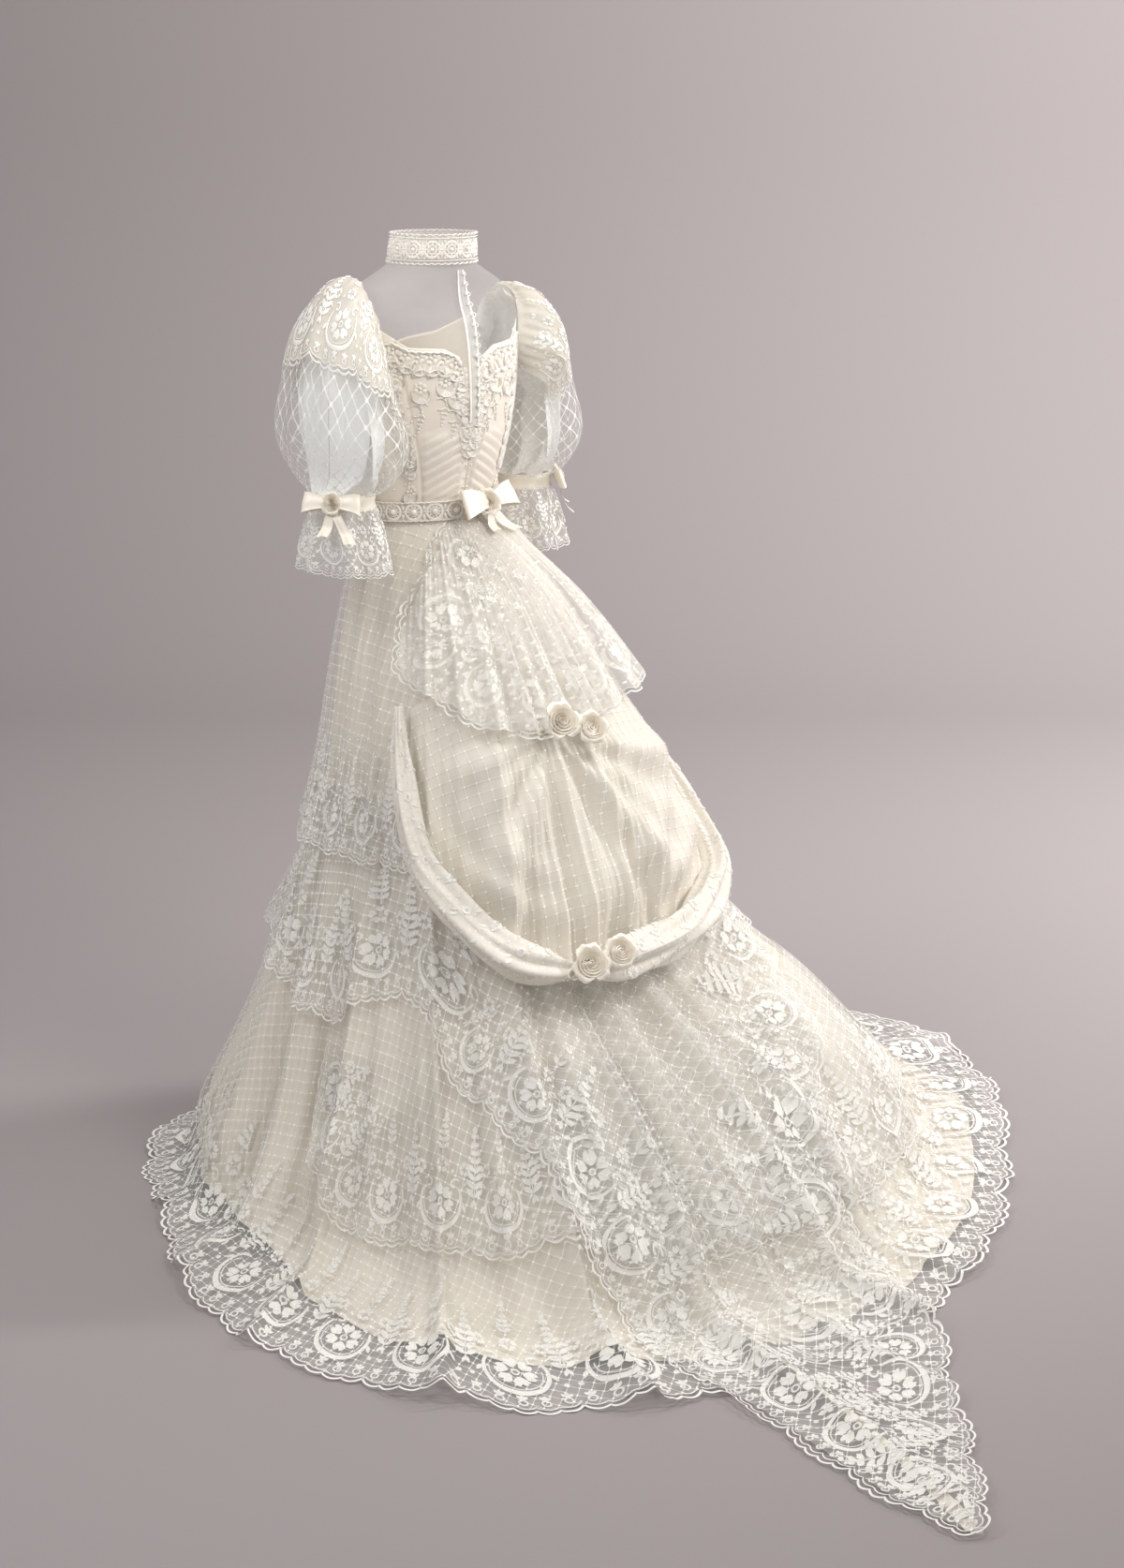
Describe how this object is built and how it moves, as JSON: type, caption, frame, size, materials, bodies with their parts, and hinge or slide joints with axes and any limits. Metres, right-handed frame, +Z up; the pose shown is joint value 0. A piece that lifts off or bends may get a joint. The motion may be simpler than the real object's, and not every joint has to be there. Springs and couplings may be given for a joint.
{
  "type": "wedding dress",
  "caption": "Floor-length ivory wedding dress with high lace collar, sheer yoke, puffed sleeves, draped bustle and a long layered net train, in its worn form.",
  "frame": {"origin": "middle of the waist, on the wearer's axis, where the waist seam is held; the floor is 1.10 m below it", "axes": "+Z up along the wearer; +Y backwards, the way the train runs; +X to the wearer's left"},
  "size_m": [1.6443, 1.8319, 1.533],
  "materials": {
    "satin": "soft ivory satin",
    "net": "fine net with small dots on a square grid",
    "lace": "corded floral lace on fine net",
    "ribbon": "warm cream satin ribbon"
  },
  "bodies": {
    "root": {"bodice_back_left": "satin", "bodice_back_right": "satin", "bodice_front": "satin", "skirt_lining": "satin", "yoke": "net", "back_placket": "net", "net_skirt": "net", "tier_three": "net", "tier_two_train": "net", "tier_one": "net", "sleeve_puff_left": "net", "sleeve_puff_right": "net", "collar": "lace", "waist_belt": "lace", "bustle_pouf": "lace", "peplum": "lace", "bustle_swag": "lace", "sleeve_cap_left": "lace", "sleeve_cap_right": "lace", "sleeve_cuff_left": "lace", "sleeve_cuff_right": "lace", "waist_bow": "ribbon", "rosette_upper": "ribbon", "rosette_lower": "ribbon", "sleeve_band_left": "ribbon", "sleeve_band_right": "ribbon", "sleeve_bow_left": "ribbon", "sleeve_bow_right": "ribbon"}
  },
  "joints": []
}
